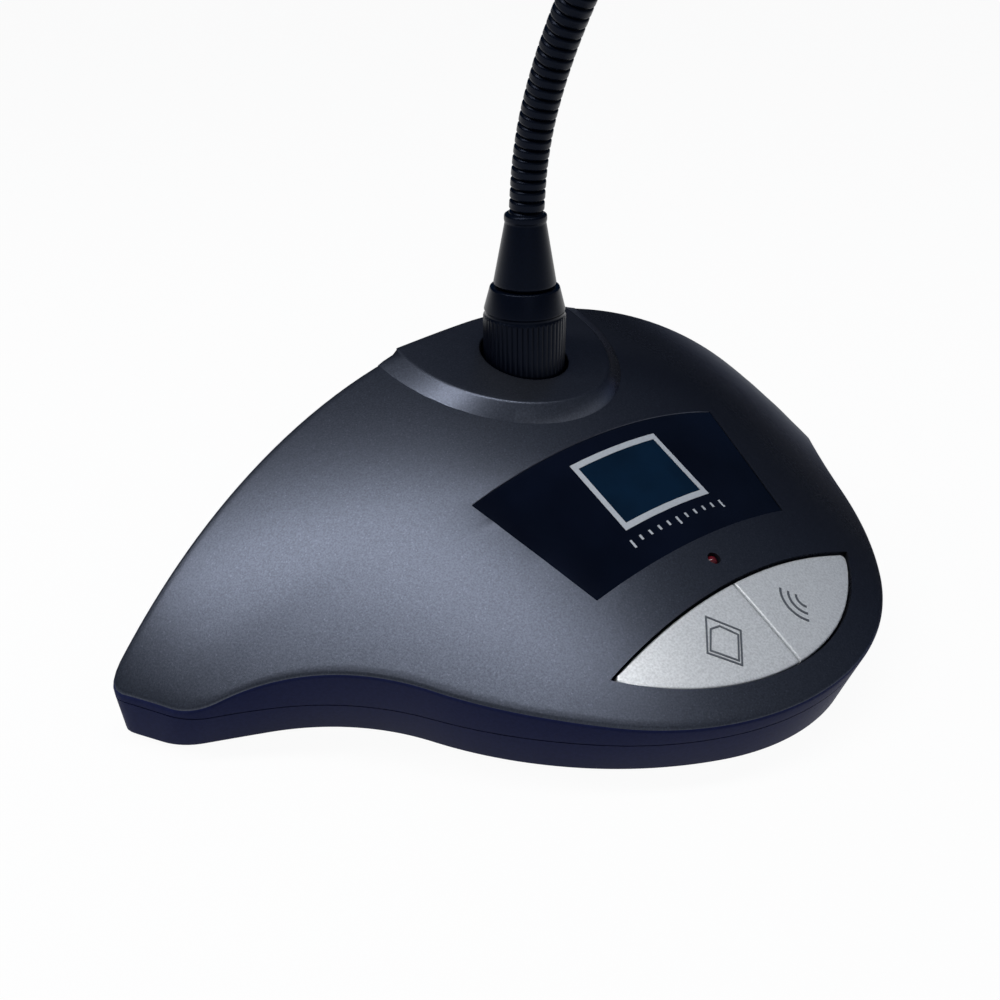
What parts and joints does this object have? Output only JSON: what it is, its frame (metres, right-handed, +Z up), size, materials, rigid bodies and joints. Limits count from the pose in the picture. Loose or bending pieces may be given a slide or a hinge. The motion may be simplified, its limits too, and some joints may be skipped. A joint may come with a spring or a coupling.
{
  "type": "gooseneck conference microphone",
  "caption": "Desk conference microphone: winged sloping base with display window and press keys, screw-locked gooseneck, foam-covered capsule head.",
  "frame": {"origin": "under the middle of the bounding box, on the table", "axes": "+Z up; the keys and the head face -Y; +X is on the right seen from the front"},
  "size_m": [0.2318, 0.2567, 0.405],
  "materials": {
    "case_paint": "fine textured graphite paint with metal flakes",
    "lower_case": "dark blue-grey satin plastic",
    "rubber": "matt black rubber",
    "screw_steel": "zinc plated steel",
    "ballast_steel": "plain steel plate",
    "board": "green solder resist",
    "component": "black moulded plastic",
    "window": "polished black window",
    "display": "grey-green display glass",
    "red_lens": "dark red tinted lens",
    "socket_metal": "black plated metal",
    "insulator": "black moulded insulator",
    "contact": "nickel plated",
    "lead": "black flat lead",
    "key_paint": "silver speckled paint",
    "neck_black": "satin black",
    "head_black": "satin black plastic",
    "foam": "open black foam"
  },
  "bodies": {
    "base": {"upper_shell": "case_paint", "bottom_shell": "lower_case", "rubber_feet": "rubber", "housing_screws": "screw_steel", "ballast_plate": "ballast_steel", "ballast_screws": "screw_steel", "main_board": "board", "board_components": "component", "board_screws": "screw_steel", "display_window": "window", "lcd_module": "display", "display_board": "board", "display_screws": "screw_steel", "key_board": "board", "key_screws": "screw_steel", "switch_bodies": "component", "status_light": "red_lens", "neck_socket": "socket_metal", "socket_insert": "insulator", "socket_pins": "contact", "socket_screws": "screw_steel", "link_socket_shells": "socket_metal", "link_socket_inserts": "insulator", "link_socket_screws": "screw_steel", "mic_lead": "lead", "display_lead": "lead", "link_leads": "lead"},
    "priority_key": {"priority_key": "key_paint", "priority_plunger": "component"},
    "talk_key": {"talk_key": "key_paint", "talk_plunger": "component"},
    "neck_plug": {"neck_sleeve": "neck_black", "plug_shell": "contact", "plug_insert": "insulator"},
    "locking_ring": {"locking_ring": "neck_black"},
    "neck_01": {"neck_link_01": "neck_black"},
    "neck_02": {"neck_link_02": "neck_black"},
    "neck_03": {"neck_link_03": "neck_black"},
    "neck_04": {"neck_link_04": "neck_black"},
    "neck_05": {"neck_link_05": "neck_black"},
    "neck_06": {"neck_link_06": "neck_black"},
    "neck_07": {"neck_link_07": "neck_black"},
    "neck_08": {"neck_link_08": "neck_black"},
    "neck_09": {"neck_link_09": "neck_black"},
    "neck_10": {"neck_link_10": "neck_black"},
    "neck_11": {"neck_link_11": "neck_black"},
    "neck_12": {"neck_link_12": "neck_black"},
    "neck_13": {"neck_link_13": "neck_black"},
    "neck_14": {"neck_link_14": "neck_black"},
    "neck_15": {"neck_link_15": "neck_black"},
    "neck_16": {"neck_link_16": "neck_black", "head_collar": "head_black", "light_ring": "red_lens", "capsule_housing": "head_black", "capsule": "contact", "foam_windscreen": "foam"}
  },
  "joints": [
    {"name": "priority_press", "type": "slide", "parent": "base", "child": "priority_key", "axis": [0, 0.474, -0.8805], "range_m": [0, 0.0006], "stiffness_N_per_m": 900},
    {"name": "talk_press", "type": "slide", "parent": "base", "child": "talk_key", "axis": [0, 0.474, -0.8805], "range_m": [0, 0.0006], "stiffness_N_per_m": 900},
    {"name": "neck_lift", "type": "slide", "parent": "base", "child": "neck_plug", "axis": [0, 0, 1], "range_m": [0, 0.025]},
    {"name": "ring_turn", "type": "hinge", "parent": "neck_plug", "child": "locking_ring", "pos_m": [0, 0.10975, 0.07], "axis": [0, 0, 1], "continuous": true},
    {"name": "neck_pitch_1", "type": "hinge", "parent": "neck_plug", "child": "neck_01", "pos_m": [0, 0.10975, 0.0945], "axis": [1, 0, 0], "range_deg": [-7, 7]},
    {"name": "neck_sway_1", "type": "hinge", "parent": "neck_01", "child": "neck_02", "pos_m": [0, 0.10833, 0.11445], "axis": [0, 0.9441, 0.3296], "range_deg": [-7, 7]},
    {"name": "neck_pitch_2", "type": "hinge", "parent": "neck_02", "child": "neck_03", "pos_m": [0, 0.10174, 0.13333], "axis": [1, 0, 0], "range_deg": [-7, 7]},
    {"name": "neck_sway_2", "type": "hinge", "parent": "neck_03", "child": "neck_04", "pos_m": [0, 0.09224, 0.15093], "axis": [0, 0.8309, 0.5564], "range_deg": [-7, 7]},
    {"name": "neck_pitch_3", "type": "hinge", "parent": "neck_04", "child": "neck_05", "pos_m": [0, 0.08111, 0.16755], "axis": [1, 0, 0], "range_deg": [-7, 7]},
    {"name": "neck_sway_3", "type": "hinge", "parent": "neck_05", "child": "neck_06", "pos_m": [0, 0.06905, 0.18351], "axis": [0, 0.7766, 0.63], "range_deg": [-7, 7]},
    {"name": "neck_pitch_4", "type": "hinge", "parent": "neck_06", "child": "neck_07", "pos_m": [0, 0.05645, 0.19904], "axis": [1, 0, 0], "range_deg": [-7, 7]},
    {"name": "neck_sway_4", "type": "hinge", "parent": "neck_07", "child": "neck_08", "pos_m": [0, 0.04353, 0.21431], "axis": [0, 0.7554, 0.6552], "range_deg": [-7, 7]},
    {"name": "neck_pitch_5", "type": "hinge", "parent": "neck_08", "child": "neck_09", "pos_m": [0, 0.03043, 0.22942], "axis": [1, 0, 0], "range_deg": [-7, 7]},
    {"name": "neck_sway_5", "type": "hinge", "parent": "neck_09", "child": "neck_10", "pos_m": [0, 0.01721, 0.24443], "axis": [0, 0.7476, 0.6642], "range_deg": [-7, 7]},
    {"name": "neck_pitch_6", "type": "hinge", "parent": "neck_10", "child": "neck_11", "pos_m": [0, 0.00393, 0.25938], "axis": [1, 0, 0], "range_deg": [-7, 7]},
    {"name": "neck_sway_6", "type": "hinge", "parent": "neck_11", "child": "neck_12", "pos_m": [0, -0.00939, 0.27429], "axis": [0, 0.7447, 0.6673], "range_deg": [-7, 7]},
    {"name": "neck_pitch_7", "type": "hinge", "parent": "neck_12", "child": "neck_13", "pos_m": [0, -0.02274, 0.28919], "axis": [1, 0, 0], "range_deg": [-7, 7]},
    {"name": "neck_sway_7", "type": "hinge", "parent": "neck_13", "child": "neck_14", "pos_m": [0, -0.0361, 0.30407], "axis": [0, 0.7437, 0.6685], "range_deg": [-7, 7]},
    {"name": "neck_pitch_8", "type": "hinge", "parent": "neck_14", "child": "neck_15", "pos_m": [0, -0.04947, 0.31894], "axis": [1, 0, 0], "range_deg": [-7, 7]},
    {"name": "neck_sway_8", "type": "hinge", "parent": "neck_15", "child": "neck_16", "pos_m": [0, -0.06285, 0.33381], "axis": [0, 0.7434, 0.6689], "range_deg": [-7, 7]}
  ],
  "couplings": [
    {"joint": "neck_pitch_2", "follows": "neck_pitch_1", "ratio": 1},
    {"joint": "neck_sway_2", "follows": "neck_sway_1", "ratio": 1},
    {"joint": "neck_pitch_3", "follows": "neck_pitch_1", "ratio": 1},
    {"joint": "neck_sway_3", "follows": "neck_sway_1", "ratio": 1},
    {"joint": "neck_pitch_4", "follows": "neck_pitch_1", "ratio": 1},
    {"joint": "neck_sway_4", "follows": "neck_sway_1", "ratio": 1},
    {"joint": "neck_pitch_5", "follows": "neck_pitch_1", "ratio": 1},
    {"joint": "neck_sway_5", "follows": "neck_sway_1", "ratio": 1},
    {"joint": "neck_pitch_6", "follows": "neck_pitch_1", "ratio": 1},
    {"joint": "neck_sway_6", "follows": "neck_sway_1", "ratio": 1},
    {"joint": "neck_pitch_7", "follows": "neck_pitch_1", "ratio": 1},
    {"joint": "neck_sway_7", "follows": "neck_sway_1", "ratio": 1},
    {"joint": "neck_pitch_8", "follows": "neck_pitch_1", "ratio": 1},
    {"joint": "neck_sway_8", "follows": "neck_sway_1", "ratio": 1}
  ]
}
